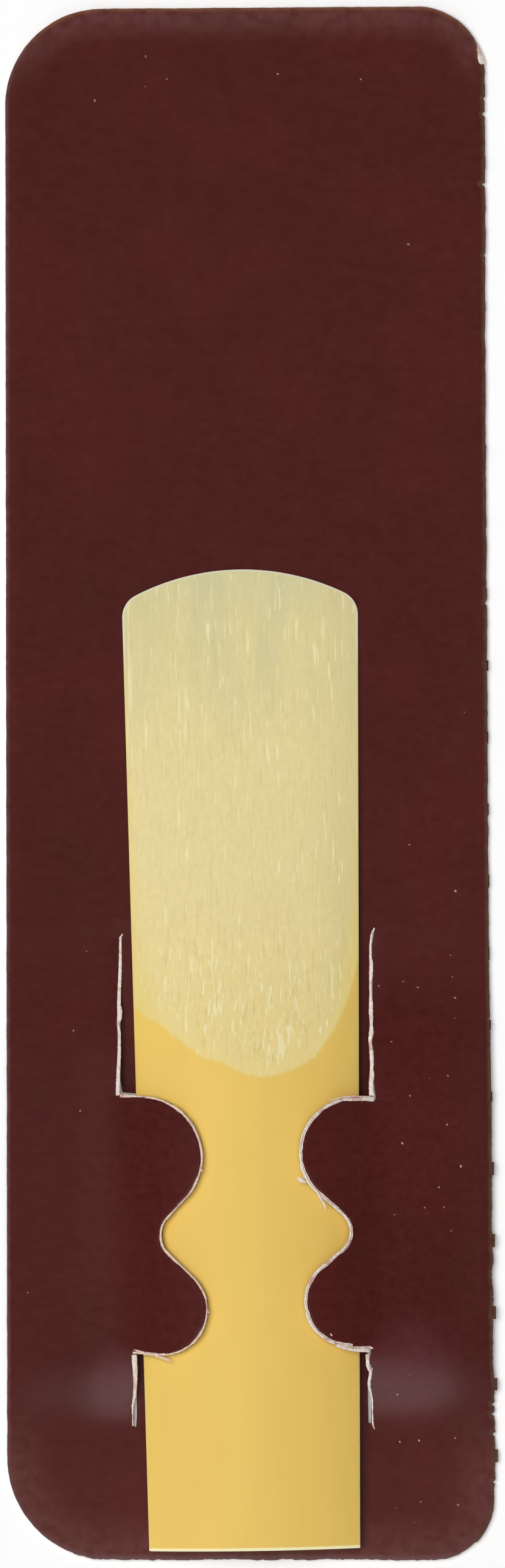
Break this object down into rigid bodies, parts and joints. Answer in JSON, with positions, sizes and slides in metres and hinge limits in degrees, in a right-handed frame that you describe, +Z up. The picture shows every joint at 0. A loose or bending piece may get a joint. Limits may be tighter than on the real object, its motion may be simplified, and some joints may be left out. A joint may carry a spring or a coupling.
{
  "type": "soprano saxophone reed",
  "caption": "Cane soprano saxophone reed, tip up, held under the lobed spring tabs of a die-cut laminated board card with arched side bands.",
  "frame": {"origin": "middle of the card's footprint, on the surface that its back lies on", "axes": "+Y along the card towards the reed's tip, +Z up out of the card's front face, +X to the right seen from the front"},
  "size_m": [0.0302, 0.096, 0.0039],
  "materials": {
    "cane": "satin",
    "board_core": "matt",
    "front_facing": "gloss",
    "back_facing": "gloss"
  },
  "bodies": {
    "card": {"card_core": "board_core", "card_front_facing": "front_facing", "card_back_facing": "back_facing"},
    "reed": {"reed": "cane"},
    "left_tab": {"left_tab_core": "board_core", "left_tab_front_facing": "front_facing", "left_tab_back_facing": "back_facing"},
    "right_tab": {"right_tab_core": "board_core", "right_tab_front_facing": "front_facing", "right_tab_back_facing": "back_facing"}
  },
  "joints": [
    {"name": "reed_slide", "type": "slide", "parent": "card", "child": "reed", "axis": [-0.0158, 0.9999, 0], "range_m": [-0.048, 0.028]},
    {"name": "left_tab_hinge", "type": "hinge", "parent": "card", "child": "left_tab", "pos_m": [-0.00757, -0.02719, 0.00194], "axis": [0.0489, -0.9986, 0.0219], "range_deg": [0, 60], "stiffness_Nm_per_rad": 0.0002, "springref_deg": -9.74},
    {"name": "right_tab_hinge", "type": "hinge", "parent": "card", "child": "right_tab", "pos_m": [0.00756, -0.0272, 0.00194], "axis": [0.0184, 0.9996, -0.0226], "range_deg": [0, 60], "stiffness_Nm_per_rad": 0.0002, "springref_deg": -9.74}
  ]
}
